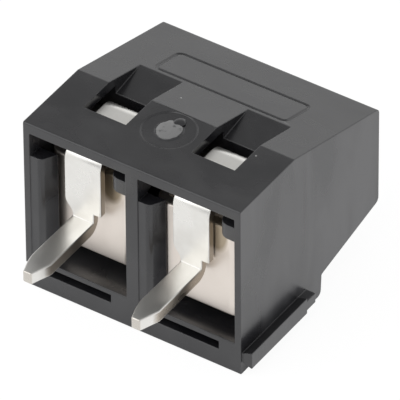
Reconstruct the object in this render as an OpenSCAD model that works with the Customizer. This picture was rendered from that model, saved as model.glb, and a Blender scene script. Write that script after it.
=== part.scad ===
// Two-pole screw terminal block for a printed circuit board.
// Each pole has a slotted screw that turns in place and lifts a threaded cage,
// and the cage clamps the wire up against a fixed current bar.
// Origin: on the board seat, midway between the two solder pins. +Z points away
// from the board, wires enter from -Y, and the poles lie along X.

/* [Body] */
// Distance between the two poles
pitch = 5.08; // [5:0.01:6]
// Overall length of the body from the wire face to the back face
body_l = 8.3; // [8:0.05:9]
// Height of the body above the board
body_h = 10; // [9.8:0.1:12]
// Distance from the pins to the back face
pin_back = 4.35; // [4.2:0.05:4.6]
// Height of the upright part of the back
back_upright = 3.85; // [3.5:0.05:4.2]
// How far the sloping back leans in at the top
back_lean = 1.7; // [1.2:0.05:1.9]
// Length of the flat top
top_l = 4.7; // [4.6:0.05:5]
// Height of the front block that holds the wire entries
ledge_z = 5.78; // [5.4:0.02:6]
// Depth of the ledge on top of the front block
ledge_l = 1; // [0.6:0.05:1.1]
// Fall of the ledge towards the wire face
ledge_fall = 0.06; // [0:0.02:0.3]
// Radius of the outer edges at the top and the shoulder
edge_r = 0.25; // [0.1:0.05:0.4]
// Radius of the outer edges around the board seat
seat_r = 0.08; // [0.02:0.02:0.2]

/* [Cells] */
// Thickness of the outer side walls, and half of the wall between the poles
side_wall = 0.29; // [0.25:0.01:0.4]
// Thickness of the upright back wall
back_wall = 0.5; // [0.4:0.05:0.6]
// Thickness of the front block from the wire face to the cell
front_wall = 1.5; // [1.4:0.05:1.6]
// How far the upper side guides for the cage stand in from the side walls
guide_rib = 0.1; // [0.05:0.01:0.15]
// Distance from the back of the cell to its upper, narrower part
guide_back = 1.25; // [1.2:0.05:1.4]
// Distance from the front of the cell to its upper, narrower part
guide_front = 0.45; // [0.3:0.05:0.55]
// Clearance between the cage and the guides around it
cage_gap = 0.1; // [0.06:0.01:0.12]
// Height of the space above the current bar at the back of the cell
step_rise = 0.45; // [0.3:0.05:0.8]
// Clearance above the cage when it is fully raised
lift_gap = 0.2; // [0.1:0.05:0.3]
// Thickness of the web under the screw well
web_t = 0.6; // [0.4:0.05:0.7]
// How far the stop under the cage stands out from the side wall at its top
stop_w = 0.88; // [0.6:0.02:1.1]
// How far the stop stands out at the board seat
stop_foot = 0.5; // [0.3:0.05:0.6]
// Distance from the back face to the stop under the cage
stop_back = 1.65; // [1.4:0.05:1.9]
// Gap between the stop and the cage
stop_gap = 0.05; // [0.03:0.01:0.1]
// Height of the stop and the corner rib above the board seat
stop_rise = 0.05; // [0.05:0.05:0.2]
// Radius of the stop's lower edge
stop_r = 0.3; // [0.1:0.05:0.35]
// Width of the rib in the back corner of each cell
rib_w = 0.8; // [0.5:0.02:0.9]
// Gap between the back wall and that rib
rib_back = 0.45; // [0.3:0.05:0.6]
// Radius of the rib's lower edge
rib_r = 0.46; // [0.2:0.02:0.5]

/* [Wire entries and windows] */
// Width of the wire entry where it reaches the cell
entry_w = 2.9; // [2.4:0.1:3.2]
// Height of the wire entry's lower edge above the floor of the lowered cage
entry_rise = 0.45; // [0.3:0.05:0.6]
// How far the wire entry opens out on each side at the wire face
entry_flare = 0.45; // [0.2:0.05:0.5]
// Length of the flared part of the wire entry
flare_l = 0.8; // [0.4:0.1:1]
// Width of the slot in the seat behind the wire face
rim_slot_w = 3; // [2:0.1:3.4]
// Thickness of the slot in the seat
rim_slot_t = 0.4; // [0.3:0.01:0.5]
// Depth of the slot in the seat
rim_slot_z = 0.85; // [0.4:0.05:0.9]
// Skin between the cell and the slot in the seat
rim_skin = 0.24; // [0.2:0.02:0.3]
// Lead-in chamfer on the skin at the seat
rim_chamfer = 0.04; // [0.03:0.01:0.1]
// Clearance beside the contact in the back window
window_gap = 0.15; // [0.1:0.01:0.2]
// Distance from the middle of the contact to the middle of its window
window_side = 0.06; // [0:0.01:0.1]
// Height of the lower edge of the back window
window_low = 2.05; // [1.6:0.05:2.4]
// Height of the upper edge of the back window
window_top = 6.05; // [5.5:0.05:6.1]
// Depth of the window's ramp below the back face, at its lower end
ramp_depth = 0.87; // [0.7:0.01:1]

/* [Contact] */
// Thickness of the contact sheet
contact_t = 0.55; // [0.45:0.05:0.6]
// Thickness of the strip under the cage, which is pressed thinner
strip_t = 0.36; // [0.3:0.02:0.5]
// Inside radius of the bends in the contact
contact_bend = 0.2; // [0.1:0.05:0.25]
// Inside radius of the bend into the pin
pin_bend = 0.05; // [0.03:0.01:0.2]
// Height and length of the slanting part between the strip and the upright leg
leg_slope = 0.6; // [0.5:0.05:0.75]
// Width of the upright leg and the strip under the cage
leg_w = 1.7; // [1.5:0.1:1.9]
// Height of the strip above the board seat
strip_z = 0.35; // [0.25:0.05:0.45]
// Distance from the pins to the shoulder where the strip narrows
shoulder_y = 0.7; // [0.6:0.05:1]
// Length over which the curved side of the shoulder narrows
shoulder_l = 0.4; // [0.3:0.05:0.5]
// Radius of both curves on that side
shoulder_r = 0.55; // [0.2:0.05:0.6]
// Width of the solder pins
pin_w = 1; // [0.8:0.05:1.2]
// Length of the solder pins below the board seat
pin_l = 3.5; // [3:0.1:5]
// Length of the straight taper on one edge of the pins
taper_l = 0.9; // [0.5:0.1:2]
// Length of the taper on the other edge, which runs into a curve
curve_l = 0.8; // [0.8:0.1:1.2]
// Radius of that curve
curve_r = 2.5; // [1:0.5:3]
// Width of the pin tips
tip_w = 0.39; // [0.3:0.01:0.6]
// Distance from the middle of the pins to the middle of their tips
tip_side = 0.035; // [0:0.005:0.1]
// Clearance between the current bar and the sides of the cage
bar_gap = 0.15; // [0.1:0.01:0.3]
// How far the current bar ends short of the cage's front edge
bar_short = 0.3; // [0.1:0.05:0.6]

/* [Cage] */
// Thickness of the cage sheet
cage_t = 0.45; // [0.35:0.05:0.5]
// Inside radius of the bends in the cage
cage_bend = 0.12; // [0.08:0.02:0.2]
// Height of the wire space under the current bar when the cage is down
wire_h = 2.08; // [1.8:0.02:2.1]
// Gap between the contact strip and the cage when it is down
cage_rise = 0.06; // [0.04:0.01:0.15]
// Clearance between the current bar and the top of the cage when it is down
top_gap = 0.25; // [0.15:0.05:0.3]
// How far the outer lap of the cage ends short of its edge
lap_short = 0.5; // [0.3:0.05:0.7]
// Radius of the edge at both ends of the cage floor
floor_r = 0.1; // [0.05:0.05:0.3]
// How far the second cage is turned up from its lowest place
lift_2 = 0.25; // [0:0.05:0.6]

/* [Screw] */
// Outer diameter of the screw thread
screw_d = 3; // [2.6:0.1:3.1]
// Clearance around the screw in the cage
thread_gap = 0.04; // [0.02:0.01:0.06]
// Clearance around the screw in the web
shank_gap = 0.05; // [0.03:0.01:0.1]
// Diameter of the screw head
head_d = 3.6; // [3.5:0.05:3.7]
// Height of the screw head
head_h = 1.7; // [1.4:0.05:1.9]
// Clearance around the screw head
head_gap = 0.1; // [0.05:0.01:0.15]
// Gap under the screw head, and under the screw's tip
seat_gap = 0.03; // [0.02:0.01:0.06]
// Width of the slot in the screw head
slot_w = 0.7; // [0.5:0.05:0.9]
// Depth of the slot in the screw head
slot_depth = 1; // [0.6:0.05:1.1]
// Chamfer on the screw head and the screw's tip
screw_chamfer = 0.2; // [0.1:0.05:0.3]
// Chamfer at the mouth of the screw well
well_chamfer = 0.12; // [0.05:0.01:0.15]

/* [Side rail and back marks] */
// How far the rail stands out from the side of the body
rail_out = 0.45; // [0.3:0.05:0.5]
// Width of the rail where it leaves the body
rail_neck = 0.47; // [0.4:0.01:0.6]
// Width of the rail's outer face
rail_w = 0.79; // [0.7:0.01:0.9]
// Distance from the wire face to the middle of the rail
rail_front = 0.83; // [0.6:0.01:0.9]
// Height of the rail's lower end above the board seat
rail_low = 0.1; // [0.05:0.05:0.3]
// Height where the rail's flared part ends
rail_top = 4.1; // [3.5:0.1:4.3]
// Height where the rail's straight neck ends
neck_top = 4.7; // [4.3:0.1:5]
// Clearance around the rail in a neighbour's groove
rail_gap = 0.05; // [0.03:0.01:0.06]
// Radius of the round moulding mark on the back
mark_r = 1.12; // [0.8:0.02:1.14]
// Radius of the raised disc inside the mark
mark_disc_r = 0.57; // [0.4:0.01:0.7]
// Height of the middle of the mark
mark_z = 2.7; // [2.3:0.05:2.8]
// Depth of the mark and of the outline on the sloping back
mark_depth = 0.04; // [0.03:0.01:0.1]
// Width of the outline on the sloping back
panel_w = 6.3; // [4:0.1:7]
// Height of the outline on the sloping back
panel_h = 2; // [1.5:0.1:2.2]
// Height of the middle of the outline
panel_z = 7.2; // [7.2:0.05:7.4]
// Line width of the outline
panel_line = 0.12; // [0.08:0.01:0.2]
// Corner radius of the outline
panel_r = 0.3; // [0.15:0.05:0.5]

/* [Hidden] */
$fn = 64;
over = 1; // how far a cut runs past the face that it opens
arc_steps = 6; // straight steps in each rounded corner of an outline

// Poles, walls and cells
pole_x = [-pitch / 2, pitch / 2];
body_w = 2 * pitch;
back_y = pin_back;
front_y = pin_back - body_l;
top_back_y = back_y - back_lean;
top_front_y = top_back_y - top_l;
cell_w = pitch - 2 * side_wall;
cell_back = back_y - back_wall;
cell_front = front_y + front_wall;
lean = atan(back_lean / (body_h - back_upright));
function slope_y(z) = back_y - back_lean * (z - back_upright) / (body_h - back_upright);

// Cage, contact and screw, stacked up from the board seat
strip_top = strip_z + strip_t;
cage_z = strip_top + cage_rise;
floor_z = cage_z + cage_t;
bar_z = floor_z + wire_h;
bar_top = bar_z + contact_t;
lap_z = bar_top + top_gap;
cage_top = lap_z + 2 * cage_t;
step_z = bar_top + step_rise;
guide_top = cage_top + wire_h + lift_gap;
well_z = guide_top + web_t;
head_z = well_z + seat_gap;
tip_z = bar_top + seat_gap;
guide_w = cell_w - 2 * guide_rib;
guide_y = [cell_front + guide_front, cell_back - guide_back];
cage_w = guide_w - 2 * cage_gap;
cage_y = [guide_y[0] + cage_gap, guide_y[1] - cage_gap];
screw_y = (cage_y[0] + cage_y[1]) / 2;
cage_in = cage_w - 2 * cage_t;
bar_w = cage_in - 2 * bar_gap;
bar_front = cage_y[0] + bar_short;
well_r = head_d / 2 + head_gap;
window_w = leg_w + 2 * window_gap;
entry_z = floor_z + entry_rise;
stop_top = cage_z - stop_gap;
stop_end = back_y - stop_back;
rail_y = front_y + rail_front;

// Points on the arc that rounds corner b, between its neighbours a and c
function unit(v) = v / norm(v);
function corner(a, b, c, r) =
    let (u = unit(a - b), v = unit(c - b),
         half = acos(u * v) / 2,
         mid = b + unit(u + v) * r / sin(half),
         start = b + u * r / tan(half) - mid,
         finish = b + v * r / tan(half) - mid,
         turn = sign(start.x * finish.y - start.y * finish.x) * (180 - 2 * half))
    [for (i = [0:arc_steps])
        let (angle = turn * i / arc_steps)
        mid + [start.x * cos(angle) - start.y * sin(angle),
               start.x * sin(angle) + start.y * cos(angle)]];
// Outline through the corners p, each rounded by its own radius in r
function rounded(p, r) =
    let (n = len(p))
    [for (i = [0:n - 1])
        for (q = r[i] > 0 ? corner(p[(i + n - 1) % n], p[i], p[(i + 1) % n], r[i]) : [p[i]]) q];

// A profile drawn in Y and Z, made w wide along X
module across(w) {
    translate([-w / 2, 0, 0])
        rotate([90, 0, 90])
            linear_extrude(w)
                children();
}

// A profile drawn in X and Z, extruded between two values of Y
module along(y) {
    translate([0, y[1], 0])
        rotate([90, 0, 0])
            linear_extrude(y[1] - y[0])
                children();
}

// A box centred on X, between two values of Y and two of Z
module block(w, y, z) {
    translate([-w / 2, y[0], z[0]])
        cube([w, y[1] - y[0], z[1] - z[0]]);
}

module body_profile() {
    polygon(rounded(
        [[back_y, 0], [back_y, back_upright], [top_back_y, body_h], [top_front_y, body_h],
         [front_y + ledge_l, ledge_z + ledge_fall], [front_y, ledge_z], [front_y, 0]],
        [seat_r, edge_r, edge_r, edge_r, seat_r, edge_r, seat_r]));
}

// Bar on one side wall of a cell, between two values of Y and two of Z, as wide as
// w states for its foot and its top, with its free lower edge rounded
module wall_bar(side, w, y, z, r) {
    wall = side * (cell_w / 2 + over);
    free = [for (v = w) side * (cell_w / 2 - v)];
    along(y)
        polygon(rounded([[wall, z[0]], [free[0], z[0]], [free[1], z[1]], [wall, z[1]]],
                        [0, r, 0, 0]));
}

// Space for the contact and the cage, open towards the board, with the stop under
// the cage on its +X side and the corner rib on its -X side
module cell_space() {
    difference() {
        block(cell_w, [cell_front, cell_back], [-over, step_z]);
        wall_bar(1, [stop_foot, stop_w], [cell_front - over, stop_end],
                 [stop_rise, stop_top], stop_r);
        wall_bar(-1, [rib_w, rib_w], [stop_end, cell_back - rib_back],
                 [stop_rise, step_z + over], rib_r);
    }
    block(guide_w, guide_y, [step_z - over, guide_top]);
    across(cell_w)
        polygon([[cell_front - rim_chamfer, -over], [cell_front - rim_chamfer, 0],
                 [cell_front, rim_chamfer], [cell_front + rim_chamfer, -over]]);
}

// Well for the screw head, and the hole for its shank in the web
module screw_well() {
    translate([0, screw_y, 0]) {
        translate([0, 0, well_z])
            cylinder(r = well_r, h = body_h);
        translate([0, 0, guide_top - over])
            cylinder(r = screw_d / 2 + shank_gap, h = web_t + 2 * over);
        translate([0, 0, body_h - well_chamfer])
            cylinder(r1 = well_r, r2 = well_r + over, h = over);
    }
}

// Wire entry: a straight throat up to the top of the current bar, flared at the face
module wire_entry() {
    throat_y = front_y + flare_l;
    intersection() {
        across(entry_w + 2 * entry_flare)
            polygon([[front_y, entry_z - entry_flare], [throat_y, entry_z],
                     [cell_front + over, entry_z], [cell_front + over, bar_top],
                     [throat_y, bar_top], [front_y, bar_top + entry_flare],
                     [front_y - over, bar_top + entry_flare],
                     [front_y - over, entry_z - entry_flare]]);
        linear_extrude(body_h)
            polygon([[-entry_w / 2 - entry_flare, front_y - over],
                     [entry_w / 2 + entry_flare, front_y - over],
                     [entry_w / 2 + entry_flare, front_y], [entry_w / 2, throat_y],
                     [entry_w / 2, cell_front + over], [-entry_w / 2, cell_front + over],
                     [-entry_w / 2, throat_y], [-entry_w / 2 - entry_flare, front_y]]);
    }
}

// Back window that shows the contact leg, with a ramp above it
module back_window() {
    translate([window_side, 0, 0])
        across(window_w)
            polygon([[back_y + over, window_low], [cell_back - contact_t / 2, window_low],
                     [cell_back - contact_t / 2, step_z - contact_t / 2],
                     [back_y - ramp_depth, step_z - contact_t / 2], [back_y - ramp_depth, step_z],
                     [slope_y(window_top), window_top], [back_y + over, window_top]]);
}

// Narrow slot in the seat, between the cell and the wire face
module rim_slot() {
    y = cell_front - rim_skin;
    block(rim_slot_w, [y - rim_slot_t, y], [-over, rim_slot_z]);
}

// Plan of the side rail with a clearance g all round, standing out towards -X
module rail_plan(g) {
    polygon([[over, -rail_neck / 2 - g], [0, -rail_neck / 2 - g], [-rail_out - g, -rail_w / 2 - g],
             [-rail_out - g, rail_w / 2 + g], [0, rail_neck / 2 + g], [over, rail_neck / 2 + g]]);
}

// Rail on the -X side, or with a clearance g the groove that takes it
module side_rail(g, low) {
    translate([0, rail_y, low])
        linear_extrude(rail_top + g - low)
            rail_plan(g);
    translate([-rail_out - g, rail_y - rail_neck / 2 - g, low])
        cube([rail_out + g + over, rail_neck + 2 * g, neck_top + g - low]);
}

// Round moulding mark: a shallow ring around a disc
module back_mark() {
    translate([0, back_y, mark_z])
        rotate([90, 0, 0])
            difference() {
                cylinder(r = mark_r, h = 2 * mark_depth, center = true);
                cylinder(r = mark_disc_r, h = 3 * mark_depth, center = true);
            }
}

module panel_outline(inset) {
    w = panel_w / 2 - inset;
    h = panel_h / 2 - inset;
    r = panel_r - inset;
    polygon(rounded([[-w, -h], [w, -h], [w, h], [-w, h]], [r, r, r, r]));
}

// Blank outline on the sloping back
module back_panel() {
    translate([0, slope_y(panel_z), panel_z])
        rotate([lean, 0, 0])
            along([-mark_depth, mark_depth])
                difference() {
                    panel_outline(0);
                    panel_outline(panel_line);
                }
}

module housing() {
    color([0.16, 0.16, 0.17]) {
        difference() {
            across(body_w)
                body_profile();
            for (x = pole_x)
                translate([x, 0, 0]) {
                    cell_space();
                    screw_well();
                    wire_entry();
                    back_window();
                    rim_slot();
                }
            translate([body_w / 2, 0, 0])
                side_rail(rail_gap, -over);
            back_mark();
            back_panel();
        }
        translate([-body_w / 2, 0, 0])
            intersection() {
                side_rail(0, rail_low);
                translate([-rail_out - over, front_y, 0])
                    cube([rail_out + over + side_wall / 2, body_l, body_h]);
            }
    }
}

// Outline of the folded contact, seen from the side
module contact_profile() {
    outer = contact_bend + contact_t;
    pin_y = contact_t / 2;
    leg_in = cell_back - contact_t;
    slant = contact_t * sqrt(2);
    polygon(rounded(
        [[bar_front, bar_z], [leg_in, bar_z], [leg_in, strip_z + leg_slope + slant - contact_t],
         [cell_back - leg_slope + strip_t - slant, strip_top], [-pin_y, strip_top], [-pin_y, -pin_l],
         [pin_y, -pin_l], [pin_y, strip_z], [cell_back - leg_slope, strip_z],
         [cell_back, strip_z + leg_slope], [cell_back, bar_top], [bar_front, bar_top]],
        [0, contact_bend, contact_bend, contact_bend, pin_bend + contact_t, 0,
         0, pin_bend, outer, outer, outer, 0]));
}

// Solder pin seen from the front: one edge tapers straight, the other in a curve
module pin_profile() {
    polygon(rounded(
        [[-pin_w / 2, strip_top], [-pin_w / 2, taper_l - pin_l], [tip_side - tip_w / 2, -pin_l],
         [tip_side + tip_w / 2, -pin_l], [pin_w / 2, curve_l - pin_l], [pin_w / 2, strip_top]],
        [0, 0, 0, 0, curve_r, 0]));
}

// Plan of the strip: it narrows to the pin in a square step on one side and in a
// curve on the other
module strip_plan() {
    polygon(rounded(
        [[-leg_w / 2, cell_back], [-leg_w / 2, shoulder_y], [-pin_w / 2, shoulder_y],
         [-pin_w / 2, 0], [pin_w / 2, 0], [pin_w / 2, shoulder_y - shoulder_l / 2],
         [leg_w / 2, shoulder_y + shoulder_l / 2], [leg_w / 2, cell_back]],
        [0, 0, 0, 0, 0, shoulder_r, shoulder_r, 0]));
}

// Current bar, leg, strip and solder pin, folded from one strip of sheet
module contact() {
    color([0.86, 0.85, 0.83])
        intersection() {
            across(bar_w)
                contact_profile();
            union() {
                block(bar_w, [bar_front, cage_y[1]], [bar_z, bar_top]);
                linear_extrude(bar_top)
                    strip_plan();
                along([-contact_t, shoulder_y])
                    pin_profile();
            }
        }
}

// Folded section of the cage, seen along the wire: the two ends lap on top
module cage_profile() {
    w = cage_w / 2;
    outer = cage_bend + cage_t;
    difference() {
        polygon(rounded(
            [[-w, cage_z], [w, cage_z], [w, cage_top], [lap_short - w, cage_top],
             [lap_short - w, cage_top - cage_t], [-w, cage_top - cage_t]],
            [outer, outer, outer, 0, 0, cage_bend]));
        polygon(rounded(
            [[-cage_in / 2, floor_z], [cage_in / 2, floor_z], [cage_in / 2, lap_z],
             [-cage_in / 2, lap_z]],
            [cage_bend, cage_bend, cage_bend, cage_bend]));
    }
}

// Side view of the cage, with the edges of its floor rounded
module cage_side() {
    polygon(rounded(
        [[cage_y[0], cage_z], [cage_y[1], cage_z], [cage_y[1], cage_top], [cage_y[0], cage_top]],
        [floor_r, floor_r, 0, 0]));
}

// Clamping cage with the hole for the screw in its lapped top
module cage() {
    color([0.84, 0.81, 0.76])
        difference() {
            intersection() {
                along(cage_y)
                    cage_profile();
                across(cage_w)
                    cage_side();
            }
            translate([0, screw_y, lap_z - cage_t])
                cylinder(r = screw_d / 2 + thread_gap, h = 4 * cage_t);
        }
}

// Slotted screw, from the tip on the current bar up to its head in the well
module screw() {
    head_top = head_z + head_h;
    color([0.76, 0.76, 0.74])
        translate([0, screw_y, 0])
            difference() {
                union() {
                    translate([0, 0, tip_z])
                        cylinder(r1 = screw_d / 2 - screw_chamfer, r2 = screw_d / 2,
                                 h = screw_chamfer);
                    translate([0, 0, tip_z + screw_chamfer])
                        cylinder(d = screw_d, h = head_z - tip_z);
                    translate([0, 0, head_z])
                        cylinder(d = head_d, h = head_h - screw_chamfer);
                    translate([0, 0, head_top - screw_chamfer])
                        cylinder(r1 = head_d / 2, r2 = head_d / 2 - screw_chamfer,
                                 h = screw_chamfer);
                }
                block(slot_w, [-head_d, head_d], [head_top - slot_depth, head_top + over]);
            }
}

housing();
translate([pole_x[0], 0, 0]) contact();  // contact_1
translate([pole_x[1], 0, 0]) contact();  // contact_2
translate([pole_x[0], 0, 0]) cage();  // cage_1
translate([pole_x[1], 0, lift_2]) cage();  // cage_2
translate([pole_x[0], 0, 0]) screw();  // screw_1
translate([pole_x[1], 0, 0]) screw();  // screw_2
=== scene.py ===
import bpy
import bmesh
import math
from mathutils import Matrix, Vector, noise


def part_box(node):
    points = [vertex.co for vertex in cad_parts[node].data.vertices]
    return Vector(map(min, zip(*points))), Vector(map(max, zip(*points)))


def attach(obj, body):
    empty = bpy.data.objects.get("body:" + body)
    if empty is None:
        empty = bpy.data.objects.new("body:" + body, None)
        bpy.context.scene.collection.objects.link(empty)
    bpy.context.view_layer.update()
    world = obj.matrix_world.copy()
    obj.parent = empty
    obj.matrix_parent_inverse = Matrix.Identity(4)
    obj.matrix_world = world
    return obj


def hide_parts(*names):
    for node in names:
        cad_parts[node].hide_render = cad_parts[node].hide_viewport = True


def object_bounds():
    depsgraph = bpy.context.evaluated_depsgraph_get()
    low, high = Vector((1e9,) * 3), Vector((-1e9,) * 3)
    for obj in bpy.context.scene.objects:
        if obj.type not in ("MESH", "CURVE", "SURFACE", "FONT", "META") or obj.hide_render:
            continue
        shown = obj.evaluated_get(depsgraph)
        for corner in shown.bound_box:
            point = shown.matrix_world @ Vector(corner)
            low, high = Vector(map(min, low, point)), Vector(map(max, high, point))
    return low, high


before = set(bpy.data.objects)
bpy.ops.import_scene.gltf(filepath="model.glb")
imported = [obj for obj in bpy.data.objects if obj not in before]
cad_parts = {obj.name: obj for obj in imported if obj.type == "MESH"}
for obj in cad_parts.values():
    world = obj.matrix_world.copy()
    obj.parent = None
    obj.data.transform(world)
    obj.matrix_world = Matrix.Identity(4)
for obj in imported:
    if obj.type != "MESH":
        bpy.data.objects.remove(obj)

mm = 0.001
white = (1, 1, 1, 1)
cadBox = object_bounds()
frontY = cadBox[0][1]
backY = cadBox[1][1]
pinTipZ = cadBox[0][2]

# seen from below and behind the mounted block, as if it lay on its wire face
view = {"azimuth": 213.4, "elevation": -39.5, "roll": 45.6, "distance": 0.3543,
        "lens": 810.0, "sensor": 36, "clip": (0.01, 5), "aim": (-0.00049, 0.00002, 0.00409)}


def addCamera():
    az = math.radians(view["azimuth"])
    el = math.radians(view["elevation"])
    look = Vector((-math.sin(az) * math.cos(el), math.cos(az) * math.cos(el), -math.sin(el)))
    data = bpy.data.cameras.new("camera")
    data.lens = view["lens"]
    data.sensor_width = view["sensor"]
    data.clip_start, data.clip_end = view["clip"]
    cam = bpy.data.objects.new("camera", data)
    turn = look.to_track_quat("-Z", "Y").to_matrix()
    turn = turn @ Matrix.Rotation(math.radians(view["roll"]), 3, "Z")
    spot = Vector(view["aim"]) - look * view["distance"]
    cam.matrix_world = Matrix.Translation(spot) @ turn.to_4x4()
    bpy.context.scene.collection.objects.link(cam)
    bpy.context.scene.camera = cam
    print("camera")


# small helpers for node trees
def addNode(tree, kind, **settings):
    node = tree.nodes.new(kind)
    for key, value in settings.items():
        if key in node.inputs:
            node.inputs[key].default_value = value
        else:
            setattr(node, key, value)
    return node


def newMaterial(name):
    material = bpy.data.materials.new(name)
    material.use_nodes = True
    tree = material.node_tree
    return material, tree, tree.nodes["Principled BSDF"]


def feed(tree, value, socket):                   # a link, a colour or a plain number
    if hasattr(value, "is_linked"):
        tree.links.new(value, socket)
    elif isinstance(value, tuple):
        socket.default_value = (*value, 1)
    else:
        socket.default_value = value


def splitAxes(tree, source):
    split = addNode(tree, "ShaderNodeSeparateXYZ")
    tree.links.new(source, split.inputs[0])
    return split.outputs


def addNoise(tree, source, **settings):
    texture = addNode(tree, "ShaderNodeTexNoise", **settings)
    tree.links.new(source, texture.inputs["Vector"])
    return texture.outputs["Fac"]


def addBump(tree, height, strength, depth, normal=None):
    bump = addNode(tree, "ShaderNodeBump", Strength=strength, Distance=depth)
    tree.links.new(height, bump.inputs["Height"])
    if normal is not None:
        tree.links.new(normal, bump.inputs["Normal"])
    return bump.outputs[0]


def addRange(tree, source, low, high, outLow=0, outHigh=1):
    ranged = addNode(tree, "ShaderNodeMapRange")
    ranged.inputs["From Min"].default_value = low
    ranged.inputs["From Max"].default_value = high
    ranged.inputs["To Min"].default_value = outLow
    ranged.inputs["To Max"].default_value = outHigh
    tree.links.new(source, ranged.inputs["Value"])
    return ranged.outputs["Result"]


def addMath(tree, operation, first, second=0.0):
    node = addNode(tree, "ShaderNodeMath", operation=operation)
    feed(tree, first, node.inputs[0])
    feed(tree, second, node.inputs[1])
    return node.outputs[0]


def mixColours(tree, share, first, second):
    mix = addNode(tree, "ShaderNodeMix", data_type="RGBA")
    tree.links.new(share, mix.inputs["Factor"])
    feed(tree, first, mix.inputs[6])             # 6 and 7 are the two colours
    feed(tree, second, mix.inputs[7])
    return mix.outputs[2]


def mixShaders(tree, share, first, second):
    mix = addNode(tree, "ShaderNodeMixShader")
    feed(tree, share, mix.inputs[0])
    tree.links.new(first, mix.inputs[1])
    tree.links.new(second, mix.inputs[2])
    return mix.outputs[0]


# white room; its ceiling (+Y) and its end towards -Z are dimmer
room = {"dim": 0.48, "ceiling": (0.4, 0.6), "end": (-0.7, -0.92)}


def addRoom():
    world = bpy.data.worlds.new("studio")
    bpy.context.scene.world = world
    world.use_nodes = True
    tree = world.node_tree
    towards = splitAxes(tree, addNode(tree, "ShaderNodeTexCoord").outputs["Generated"])
    lit = addMath(tree, "MINIMUM", addRange(tree, towards["Y"], *room["ceiling"], 1, 0),
                  addRange(tree, towards["Z"], *room["end"], 1, 0))
    walls = tree.nodes["Background"]
    walls.inputs["Color"].default_value = white
    tree.links.new(addRange(tree, lit, 0, 1, room["dim"], 1), walls.inputs["Strength"])
    backdrop = addNode(tree, "ShaderNodeBackground", Color=white, Strength=1.0)
    rays = addNode(tree, "ShaderNodeLightPath").outputs
    bounced = addMath(tree, "MAXIMUM", rays["Is Glossy Ray"], rays["Is Transmission Ray"])
    mirrored = addMath(tree, "MULTIPLY", lit, bounced)
    seen = addMath(tree, "MAXIMUM", rays["Is Camera Ray"], mirrored)
    tree.links.new(mixShaders(tree, seen, walls.outputs[0], backdrop.outputs[0]),
                   tree.nodes["World Output"].inputs["Surface"])
    print("room")


# pale table under the wire face; from below it is clear, so it never hides the block.
# Its soft contact shade is short where it is seen directly, longer where it is mirrored
table = {"size": 0.6, "gap": 0.02 * mm, "colour": (0.95, 0.95, 0.95), "roughness": 0.7,
         "glow": 0.88, "shade": 6 * mm, "seenShade": (0.0, 0.12, 0.6, 1.06),
         "mirroredShade": (0.1, 0.65, 0.25, 1)}


def addTable():
    bm = bmesh.new()
    bmesh.ops.create_grid(bm, x_segments=1, y_segments=1, size=table["size"] / 2)
    bmesh.ops.rotate(bm, verts=bm.verts, matrix=Matrix.Rotation(math.radians(-90), 3, "X"))
    bmesh.ops.translate(bm, verts=bm.verts, vec=(0, frontY - table["gap"], 0))
    mesh = bpy.data.meshes.new("table")
    bm.to_mesh(mesh)
    bm.free()
    top = bpy.data.objects.new("table", mesh)
    bpy.context.scene.collection.objects.link(top)
    material, tree, paint = newMaterial("paleTable")
    feed(tree, table["colour"], paint.inputs["Base Color"])
    feed(tree, table["roughness"], paint.inputs["Roughness"])
    rays = addNode(tree, "ShaderNodeLightPath").outputs
    shade = addNode(tree, "ShaderNodeAmbientOcclusion", samples=8, Distance=table["shade"])
    pick = addNode(tree, "ShaderNodeMix")
    tree.links.new(rays["Is Glossy Ray"], pick.inputs["Factor"])
    tree.links.new(addRange(tree, shade.outputs["AO"], *table["seenShade"]), pick.inputs["A"])
    tree.links.new(addRange(tree, shade.outputs["AO"], *table["mirroredShade"]), pick.inputs["B"])
    glow = addNode(tree, "ShaderNodeEmission")
    tree.links.new(pick.outputs["Result"], glow.inputs["Strength"])
    solid = mixShaders(tree, table["glow"], paint.outputs[0], glow.outputs[0])
    clear = addNode(tree, "ShaderNodeBsdfTransparent")
    below = addNode(tree, "ShaderNodeNewGeometry").outputs["Backfacing"]
    lighting = addMath(tree, "MAXIMUM", rays["Is Diffuse Ray"], rays["Is Shadow Ray"])
    hidden = addMath(tree, "MAXIMUM", below, lighting)
    tree.links.new(mixShaders(tree, hidden, solid, clear.outputs[0]),
                   tree.nodes["Material Output"].inputs["Surface"])
    mesh.materials.append(material)
    print("table")


# level is what the lamp adds on a face turned towards it
lamps = {"softbox": {"comesFrom": (0.35, 0.72, -0.6), "size": 0.23, "distance": 0.2, "level": 0.5}}


def addLamps():
    for name, lamp in lamps.items():
        away = Vector(lamp["comesFrom"]).normalized()
        data = bpy.data.lights.new(name, "AREA")
        data.size = lamp["size"]
        data.energy = lamp["level"] * math.pi ** 2 * lamp["distance"] ** 2
        light = bpy.data.objects.new(name, data)
        light.matrix_world = (Matrix.Translation(away * lamp["distance"])
                              @ away.to_track_quat("Z", "Y").to_matrix().to_4x4())
        bpy.context.scene.collection.objects.link(light)
    print("lamps")


addCamera()
addRoom()
addTable()
addLamps()
bpy.context.scene.view_settings.view_transform = "Standard"

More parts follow.
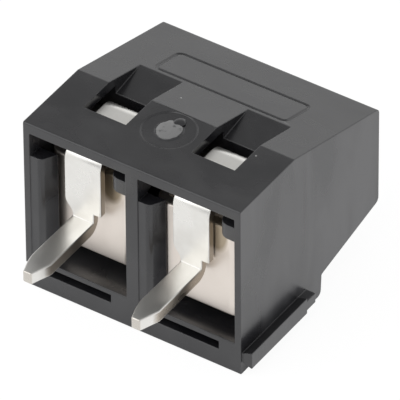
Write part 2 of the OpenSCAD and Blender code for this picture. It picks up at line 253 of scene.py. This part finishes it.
# black moulded polyamide: faint clouds, smudges that run along Y and show most on the sides,
# paler edges that are a painted highlight, a few specks of dust and a fine grain
plastic = {"colour": (0.009, 0.009, 0.011), "ior": 1.65,
           "roughness": (0.22, 0.36), "roughRange": (0.35, 0.68),
           "dusty": (0.016, 0.016, 0.018), "clouds": 700, "cloudRange": (0.4, 0.75),
           "smudged": (0.048, 0.048, 0.051), "smudges": 300, "smudgeRange": (0.42, 0.66),
           "smudgeStretch": (1, 0.45, 1.6), "sideRange": (0.3, 0.9, 0.25, 1),
           # the paler colour of the edges is a painted highlight
           "edgeHighlight": (0.06, 0.06, 0.064), "edge": 0.05 * mm, "edgeRange": (0.99, 0.8),
           "speck": (0.35, 0.35, 0.35), "specks": 1100, "speckSize": (0.05, 0.03),
           "speckShare": (0.9, 0.91),
           "grain": 16000, "grainDepth": 0.0035 * mm, "grainStrength": 0.3}


def blackPlastic():
    material, tree, paint = newMaterial("blackPlastic")
    link = tree.links.new
    coords = addNode(tree, "ShaderNodeTexCoord").outputs
    place = coords["Object"]
    drawn = addNode(tree, "ShaderNodeMapping", Scale=plastic["smudgeStretch"])
    link(place, drawn.inputs["Vector"])
    clouds = addNoise(tree, place, Scale=plastic["clouds"], Detail=4.0, Roughness=0.6)
    smudges = addNoise(tree, drawn.outputs[0], Scale=plastic["smudges"], Detail=3.0, Distortion=0.6)
    grain = addNoise(tree, place, Scale=plastic["grain"], Detail=3.0, Roughness=0.55)
    dots = addNode(tree, "ShaderNodeTexVoronoi", Scale=plastic["specks"])
    link(place, dots.inputs["Vector"])
    dust = addRange(tree, clouds, *plastic["cloudRange"])
    colour = mixColours(tree, dust, plastic["colour"], plastic["dusty"])
    sideways = addMath(tree, "ABSOLUTE", splitAxes(tree, coords["Normal"])["X"])
    haze = addMath(tree, "MULTIPLY", addRange(tree, sideways, *plastic["sideRange"]),
                   addRange(tree, smudges, *plastic["smudgeRange"]))
    colour = mixColours(tree, haze, colour, plastic["smudged"])
    # painted highlight on the edges: paler where a rounded normal leaves the true one
    rounded = addNode(tree, "ShaderNodeBevel", samples=4, Radius=plastic["edge"])
    same = addNode(tree, "ShaderNodeVectorMath", operation="DOT_PRODUCT")
    link(rounded.outputs[0], same.inputs[0])
    link(addNode(tree, "ShaderNodeNewGeometry").outputs["Normal"], same.inputs[1])
    edge = addRange(tree, same.outputs["Value"], *plastic["edgeRange"])
    colour = mixColours(tree, edge, colour, plastic["edgeHighlight"])
    tone = addNode(tree, "ShaderNodeSeparateColor")   # only a few of the dots are specks
    link(dots.outputs["Color"], tone.inputs[0])
    spots = addRange(tree, dots.outputs["Distance"], *plastic["speckSize"])
    chosen = addRange(tree, tone.outputs[0], *plastic["speckShare"])
    speck = addMath(tree, "MULTIPLY", spots, chosen)
    link(mixColours(tree, speck, colour, plastic["speck"]), paint.inputs["Base Color"])
    link(addRange(tree, smudges, *plastic["roughRange"], *plastic["roughness"]),
         paint.inputs["Roughness"])
    link(addBump(tree, grain, plastic["grainStrength"], plastic["grainDepth"], rounded.outputs[0]),
         paint.inputs["Normal"])
    paint.inputs["IOR"].default_value = plastic["ior"]
    return material


# plated sheet: soft patches, slow waves, fine grain, and sheared flanks that face along X
sheets = {
    "brightTin": {"colour": (0.80, 0.79, 0.76), "dull": (0.72, 0.705, 0.67),
                  "flank": (0.46, 0.41, 0.35), "roughness": (0.24, 0.4),
                  "patches": 520, "stretch": (1, 1, 0.5), "wave": 0.35},
    "warmNickel": {"colour": (0.80, 0.735, 0.675), "dull": (0.765, 0.70, 0.64),
                   "flank": (0.6, 0.53, 0.46), "roughness": (0.3, 0.42),
                   "patches": 420, "stretch": (1, 0.6, 1), "wave": 0.15,
                   # painted shade: the dark brownish spot at the back of the cage floor
                   "paintedShade": (0.40, 0.34, 0.26)},
    "zincPlate": {"colour": (0.74, 0.74, 0.73), "dull": (0.62, 0.62, 0.62),
                  "flank": (0.74, 0.74, 0.73), "roughness": (0.22, 0.38),
                  "patches": 900, "stretch": (1, 1, 1), "wave": 0.2,
                  # painted shade in the screw's slot
                  "paintedShade": (0.2, 0.195, 0.185)},
}
plating = {"patchRange": (0.42, 0.72), "roughRange": (0.35, 0.65), "flankRange": (0.975, 0.995),
           # how far the screws' painted shade fades in below its start height
           "cutHeights": (0.06 * mm, 0.02 * mm), "cutShare": 0.55, "shadeFadeDepth": 0.3 * mm,
           # ragged edge and fade of the painted shade spot on the cage floor
           "shadeSpotRagged": (-0.2, 0.2), "shadeSpotFade": (1.15, 0.85),
           "waveFiner": 1.3, "waveDepth": 0.02 * mm,
           "grain": 14000, "grainDepth": 0.003 * mm, "grainStrength": 0.2}


def sheetMetal(finishName, mark="", shadeSpotAt=None, shadeSpotSize=None, shadeFromHeight=None):
    finish = sheets[finishName]
    material, tree, paint = newMaterial(finishName + mark)
    link = tree.links.new
    coords = addNode(tree, "ShaderNodeTexCoord").outputs
    drawn = addNode(tree, "ShaderNodeMapping", Scale=finish["stretch"])
    link(coords["Object"], drawn.inputs["Vector"])
    place = drawn.outputs[0]
    patches = addNoise(tree, place, Scale=finish["patches"], Detail=4.0, Roughness=0.6)
    wave = addNoise(tree, place, Scale=finish["patches"] * plating["waveFiner"], Detail=1.0)
    grain = addNoise(tree, place, Scale=plating["grain"], Detail=2.0)
    colour = mixColours(tree, addRange(tree, patches, *plating["patchRange"]),
                        finish["colour"], finish["dull"])
    # bare metal where the sheet was cut: its flanks, and faintly the pins' ends
    sideways = addMath(tree, "ABSOLUTE", splitAxes(tree, coords["Normal"])["X"])
    sheared = addRange(tree, sideways, *plating["flankRange"])
    height = splitAxes(tree, coords["Object"])["Z"]
    cutFrom, cutTo = (pinTipZ + above for above in plating["cutHeights"])
    cut = addRange(tree, height, cutFrom, cutTo, 0, plating["cutShare"])
    colour = mixColours(tree, addMath(tree, "MAXIMUM", sheared, cut), colour, finish["flank"])
    if shadeFromHeight is not None:                   # painted shade: darker below this height
        slotShadeMask = addRange(tree, height, shadeFromHeight, shadeFromHeight - plating["shadeFadeDepth"])
        colour = mixColours(tree, slotShadeMask, colour, finish["paintedShade"])
    if shadeSpotAt is not None:                      # painted shade: a soft ragged darker spot round this point
        centre = addNode(tree, "ShaderNodeMapping",
                         Location=[-a / s for a, s in zip(shadeSpotAt, shadeSpotSize)],
                         Scale=[1 / s for s in shadeSpotSize])
        link(coords["Object"], centre.inputs["Vector"])
        reach = addNode(tree, "ShaderNodeVectorMath", operation="LENGTH")
        link(centre.outputs[0], reach.inputs[0])
        ragged = addMath(tree, "ADD", reach.outputs["Value"],
                         addRange(tree, patches, 0, 1, *plating["shadeSpotRagged"]))
        spot = addRange(tree, ragged, *plating["shadeSpotFade"])
        colour = mixColours(tree, spot, colour, finish["paintedShade"])
    link(colour, paint.inputs["Base Color"])
    link(addRange(tree, patches, *plating["roughRange"], *finish["roughness"]),
         paint.inputs["Roughness"])
    paint.inputs["Metallic"].default_value = 1.0
    waves = addBump(tree, wave, finish["wave"], plating["waveDepth"])
    link(addBump(tree, grain, plating["grainStrength"], plating["grainDepth"], waves),
         paint.inputs["Normal"])
    return material


black = blackPlastic()
print("black plastic")

joining = {"apart": 0.001 * mm, "flatWithin": 0.6}
smoothBelow = 22                                 # degrees between faces shaded as one


# the node's own shape, joined up, with the flat faces made whole
def solidOf(nodeName):
    bm = bmesh.new()
    bm.from_mesh(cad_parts[nodeName].data)
    bmesh.ops.remove_doubles(bm, verts=bm.verts, dist=joining["apart"])
    bmesh.ops.dissolve_limit(bm, angle_limit=math.radians(joining["flatWithin"]),
                             verts=bm.verts, edges=bm.edges)
    return bm


def softenEdges(bm, settings):
    sharp = [e for e in bm.edges
             if e.is_manifold and e.calc_face_angle(0) > math.radians(settings["sharperThan"])]
    bmesh.ops.bevel(bm, geom=sharp, offset=settings["edge"], offset_type="OFFSET", affect="EDGES",
                    segments=settings["segments"], profile=0.5, material=-1, clamp_overlap=False)


def addPiece(bm, name, material, body, nodeName=None):
    for face in bm.faces:
        face.smooth = True
    mesh = bpy.data.meshes.new(name)
    bm.to_mesh(mesh)
    bm.free()
    mesh.set_sharp_from_angle(angle=math.radians(smoothBelow))
    mesh.materials.append(material)
    piece = bpy.data.objects.new(name, mesh)
    bpy.context.scene.collection.objects.link(piece)
    even = piece.modifiers.new("evenShading", "WEIGHTED_NORMAL")
    even.keep_sharp = True
    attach(piece, body)
    if nodeName:
        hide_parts(nodeName)
    print(name, len(mesh.polygons))


moulded = {"edge": 0.03 * mm, "sharperThan": 21, "segments": 2}


def addHousing():
    bm = solidOf("housing")
    softenEdges(bm, moulded)
    addPiece(bm, "housingShell", black, "block", "housing")


stamped = {"edge": 0.06 * mm, "sharperThan": 35, "segments": 3}


def addContacts():
    tin = sheetMetal("brightTin")
    for pole in ("1", "2"):
        bm = solidOf("contact_" + pole)
        softenEdges(bm, stamped)
        addPiece(bm, "tinnedContact" + pole, tin, "block", "contact_" + pole)


# painted shade at the back of the cage floor, near the back wall and rib; the spot's place is from
# the middle of the floor's underside, and from y = 0
folded = {"edge": 0.04 * mm, "sharperThan": 35, "segments": 3,
          "shadeSpotAt": (-0.95 * mm, 2.15 * mm, 0), "shadeSpotSize": (0.5 * mm, 0.95 * mm, 1.2 * mm)}


def addCages():
    for pole in ("1", "2"):
        low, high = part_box("cage_" + pole)
        shadeSpotAt = Vector(folded["shadeSpotAt"]) + Vector(((low.x + high.x) / 2, 0, low.z))
        nickel = sheetMetal("warmNickel", pole, shadeSpotAt, folded["shadeSpotSize"])
        bm = solidOf("cage_" + pole)
        softenEdges(bm, folded)
        addPiece(bm, "wireCage" + pole, nickel, "cage_" + pole, "cage_" + pole)


# slotted head from the node, with a threaded shank under it; below just under the head's top it is
# painted darker, as painted shade in the slot
turned = {"edge": 0.04 * mm, "sharperThan": 35, "segments": 2, "unshadedDepth": 0.35 * mm,
          "headHeight": 1.7 * mm, "neckLength": 0.1 * mm, "core": 1.22 * mm, "crest": 1.5 * mm,
          "pitch": 0.5 * mm, "ridgeShare": 0.42, "sunk": 0.06 * mm, "threadFrom": 0.25 * mm,
          "runOut": 0.25 * mm, "stepsPerTurn": 32}


def addThread(bm, axis, low, high):
    turns = (high - low) / turned["pitch"]
    steps = int(turns * turned["stepsPerTurn"])
    half = turned["pitch"] * turned["ridgeShare"]
    root = turned["core"] - turned["sunk"]
    profile = ((root, -half), (turned["crest"], 0), (root, half))
    face = bm.faces.new([bm.verts.new((axis.x + r, axis.y, low + z)) for r, z in profile])
    bmesh.ops.spin(bm, geom=[face, *face.edges, *face.verts], cent=axis, axis=(0, 0, 1),
                   dvec=(0, 0, (high - low) / steps), angle=math.tau * turns, steps=steps)
    bmesh.ops.recalc_face_normals(bm, faces=bm.faces)


def addScrews():
    # painted shade: the screws are darkened from a little under the head's top downwards
    zinc = sheetMetal("zincPlate", shadeFromHeight=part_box("screw_1")[1].z - turned["unshadedDepth"])
    for pole in ("1", "2"):
        low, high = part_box("screw_" + pole)
        axis = Vector(((low.x + high.x) / 2, (low.y + high.y) / 2, 0))
        neck = high.z - turned["headHeight"]
        bm = solidOf("screw_" + pole)
        softenEdges(bm, turned)
        for v in bm.verts:                       # slim the shank to the thread's root
            if v.co.z < neck - turned["neckLength"]:
                v.co.xy = axis.xy + (v.co.xy - axis.xy) * turned["core"] / turned["crest"]
        addThread(bm, axis, low.z + turned["threadFrom"], neck - turned["runOut"])
        addPiece(bm, "clampScrew" + pole, zinc, "screw_" + pole, "screw_" + pole)


# torn stub of the moulding gate inside the round mark, with a glossy lump beside it
gate = {"z": 2.7 * mm, "radius": 0.55 * mm, "lump": (-0.08 * mm, 0.58 * mm),
        "lumpRadius": 0.28 * mm, "height": 0.07 * mm, "stretch": (0.9, 1.05), "subdivisions": 5,
        "rough": 0.05 * mm, "wrinkles": 4.2}
torn = {"colour": (0.21, 0.21, 0.21), "dark": (0.04, 0.04, 0.043), "darkRange": (0.56, 0.72),
        "roughness": (0.25, 0.5), "roughRange": (0.3, 0.7), "fibres": 3200,
        "bumpStrength": 0.6, "bumpDepth": 0.02 * mm}


def tornPlastic():
    material, tree, paint = newMaterial("tornPlastic")
    coords = addNode(tree, "ShaderNodeTexCoord").outputs["Object"]
    fibres = addNoise(tree, coords, Scale=torn["fibres"], Detail=4.0, Roughness=0.65)
    tree.links.new(mixColours(tree, addRange(tree, fibres, *torn["darkRange"]),
                              torn["colour"], torn["dark"]), paint.inputs["Base Color"])
    tree.links.new(addRange(tree, fibres, *torn["roughRange"], *torn["roughness"]),
                   paint.inputs["Roughness"])
    tree.links.new(addBump(tree, fibres, torn["bumpStrength"], torn["bumpDepth"]),
                   paint.inputs["Normal"])
    return material


def addGate():
    parts = (("gateStub", (0, 0), gate["radius"], tornPlastic()),
             ("gateLump", gate["lump"], gate["lumpRadius"], black))
    wide, tall = gate["stretch"]
    for name, (x, z), radius, material in parts:
        bm = bmesh.new()
        bmesh.ops.create_icosphere(bm, subdivisions=gate["subdivisions"], radius=radius)
        for v in bm.verts:                       # wrinkled, then pressed flat on the back face
            crease = noise.noise(v.co / mm * gate["wrinkles"])
            v.co += v.co.normalized() * gate["rough"] * crease
        bmesh.ops.scale(bm, verts=bm.verts, vec=(wide, gate["height"] / radius, tall))
        bmesh.ops.translate(bm, verts=bm.verts, vec=(x, backY, gate["z"] + z))
        addPiece(bm, name, material, "block")


addHousing()
addContacts()
addCages()
addScrews()
addGate()
